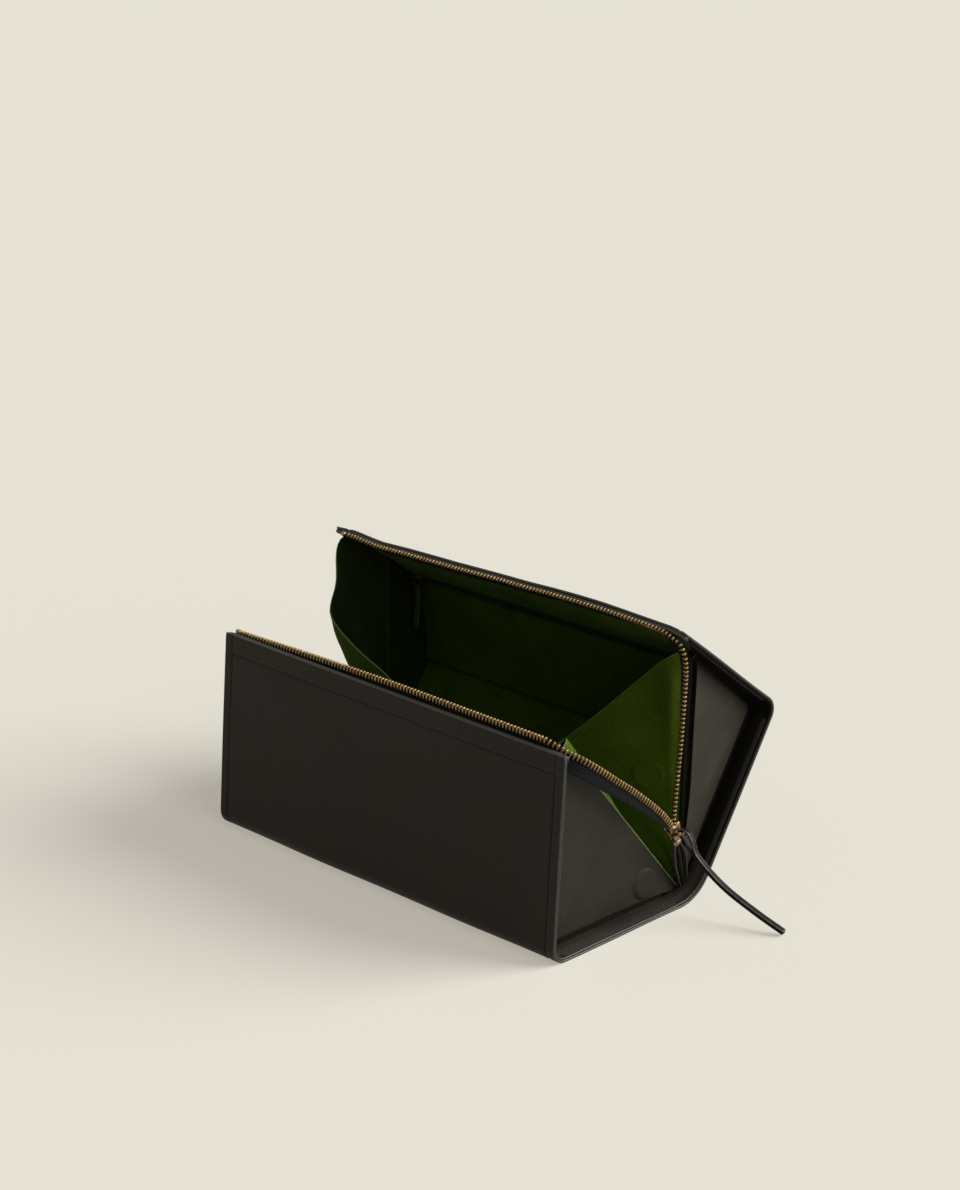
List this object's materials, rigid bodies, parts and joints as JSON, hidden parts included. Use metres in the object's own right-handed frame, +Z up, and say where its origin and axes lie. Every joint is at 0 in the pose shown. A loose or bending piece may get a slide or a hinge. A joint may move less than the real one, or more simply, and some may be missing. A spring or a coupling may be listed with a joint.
{
  "type": "toiletry bag",
  "caption": "Box-shaped leather wash bag, open as a clamshell about its rear bottom fold, with folding gussets, a metal zip and a lined cavity.",
  "frame": {"origin": "middle of the flat bottom, on the surface that the bag stands on", "axes": "+X along the length to the end where the zip's tail hangs, +Y from the front wall to the back, +Z up"},
  "size_m": [0.3105, 0.1668, 0.1489],
  "materials": {
    "black_leather": "fine-grain black leather, matt satin",
    "pull_leather": "black leather strap with pale cut edges",
    "stiffener_board": "grey fibre board",
    "green_lining": "close-woven dark green lining cloth",
    "zip_tape": "black herringbone tape",
    "zip_metal": "antique brass",
    "nylon_coil": "dark nylon coil",
    "magnet_steel": "plated steel disc"
  },
  "bodies": {
    "front_half": {"front_and_bottom_leather": "black_leather", "front_board": "stiffener_board", "bottom_board": "stiffener_board", "front_lining": "green_lining", "bottom_lining": "green_lining", "rear_fold_leather": "black_leather", "rear_fold_lining": "green_lining", "front_zip_tape": "zip_tape", "front_zip_teeth": "zip_metal", "front_top_stop": "zip_metal", "front_free_tape": "zip_tape", "front_free_teeth": "zip_metal", "left_front_end_panel": "black_leather", "left_front_end_stiffener": "stiffener_board", "left_front_end_lining": "green_lining", "left_front_end_magnet": "magnet_steel", "left_gusset_front_half": "green_lining", "right_front_end_panel": "black_leather", "right_front_end_stiffener": "stiffener_board", "right_front_end_lining": "green_lining", "right_front_end_magnet": "magnet_steel", "right_gusset_front_half": "green_lining"},
    "back_half": {"back_and_lid_leather": "black_leather", "back_board": "stiffener_board", "lid_board": "stiffener_board", "back_lining": "green_lining", "lid_lining": "green_lining", "rear_zip_tape": "zip_tape", "rear_zip_teeth": "zip_metal", "rear_top_stop": "zip_metal", "rear_free_tape": "zip_tape", "rear_free_teeth": "zip_metal", "pocket_panel": "green_lining", "pocket_zip_tape": "zip_tape", "pocket_zip_coil": "nylon_coil", "left_rear_end_panel": "black_leather", "left_rear_end_stiffener": "stiffener_board", "left_rear_end_lining": "green_lining", "left_gusset_rear_half": "green_lining", "left_gusset_magnet": "magnet_steel", "right_rear_end_panel": "black_leather", "right_rear_end_stiffener": "stiffener_board", "right_rear_end_lining": "green_lining", "right_gusset_rear_half": "green_lining", "right_gusset_magnet": "magnet_steel"},
    "zip_tail": {"zip_slider": "zip_metal", "slider_bridge": "zip_metal", "zip_bottom_stop": "zip_metal", "zip_end_tab": "pull_leather"},
    "pull": {"pull_strap": "pull_leather"},
    "pocket_slider": {"pocket_slider": "zip_metal"},
    "pocket_pull": {"pocket_pull": "green_lining"}
  },
  "joints": [
    {"name": "lid_fold", "type": "hinge", "parent": "front_half", "child": "back_half", "pos_m": [0, 0.055, 0], "axis": [1, 0, 0], "range_deg": [-25, 32], "deforming": ["rear_fold_leather", "rear_fold_lining", "front_free_tape", "front_free_teeth", "rear_free_tape", "rear_free_teeth", "left_gusset_front_half", "left_gusset_rear_half", "left_gusset_magnet", "right_gusset_front_half", "right_gusset_rear_half", "right_gusset_magnet"]},
    {"name": "zip_tail_swing", "type": "hinge", "parent": "front_half", "child": "zip_tail", "pos_m": [0, 0.055, 0], "axis": [1, 0, 0], "range_deg": [-12.5, 16]},
    {"name": "pull_swing", "type": "hinge", "parent": "zip_tail", "child": "pull", "pos_m": [0.1266, 0.03981, 0.04363], "axis": [0.23, -0.9732, 0], "range_deg": [0, 115]},
    {"name": "pocket_slide", "type": "slide", "parent": "back_half", "child": "pocket_slider", "axis": [1, 0, 0], "range_m": [0, 0.2]},
    {"name": "pocket_pull_swing", "type": "hinge", "parent": "pocket_slider", "child": "pocket_pull", "pos_m": [-0.103, 0.07602, 0.11137], "axis": [1, 0, 0], "range_deg": [-80, 5]}
  ],
  "couplings": [
    {"joint": "zip_tail_swing", "follows": "lid_fold", "ratio": 0.5}
  ]
}
